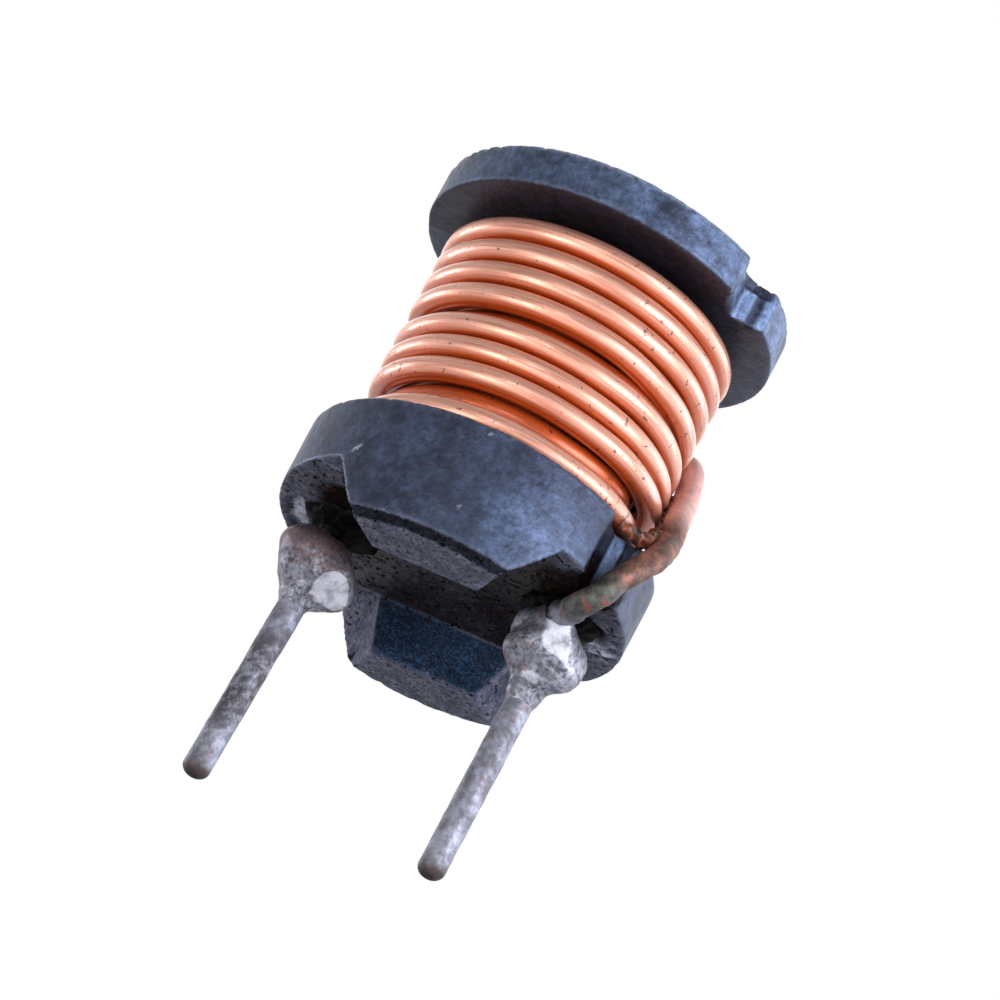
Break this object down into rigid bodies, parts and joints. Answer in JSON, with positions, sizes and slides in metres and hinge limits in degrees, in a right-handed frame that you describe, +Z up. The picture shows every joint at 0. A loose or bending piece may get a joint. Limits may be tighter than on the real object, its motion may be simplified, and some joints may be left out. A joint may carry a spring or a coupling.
{
  "type": "radial inductor",
  "caption": "Upright drum-core inductor: ferrite bobbin with two flanges, copper wire in layers, and two tinned pins below for a circuit board.",
  "frame": {"origin": "on the plane of the feet's undersides, midway between the two pins", "axes": "+Z up the drum's axis towards the top flange, X through the two pins, Y through the two feet"},
  "size_m": [0.0081, 0.0078, 0.0145],
  "materials": {
    "ferrite_core": "satin sintered ferrite",
    "winding_wire": "enamelled copper",
    "pin_left": "tinned",
    "pin_right": "tinned",
    "pin_glue_left": "cured epoxy",
    "pin_glue_right": "cured epoxy",
    "solder_left": "tin solder",
    "solder_right": "tin solder"
  },
  "bodies": {
    "root": {"ferrite_core": "ferrite_core", "winding_wire": "winding_wire", "pin_left": "pin_left", "pin_right": "pin_right", "pin_glue_left": "pin_glue_left", "pin_glue_right": "pin_glue_right", "solder_left": "solder_left", "solder_right": "solder_right"}
  },
  "joints": []
}
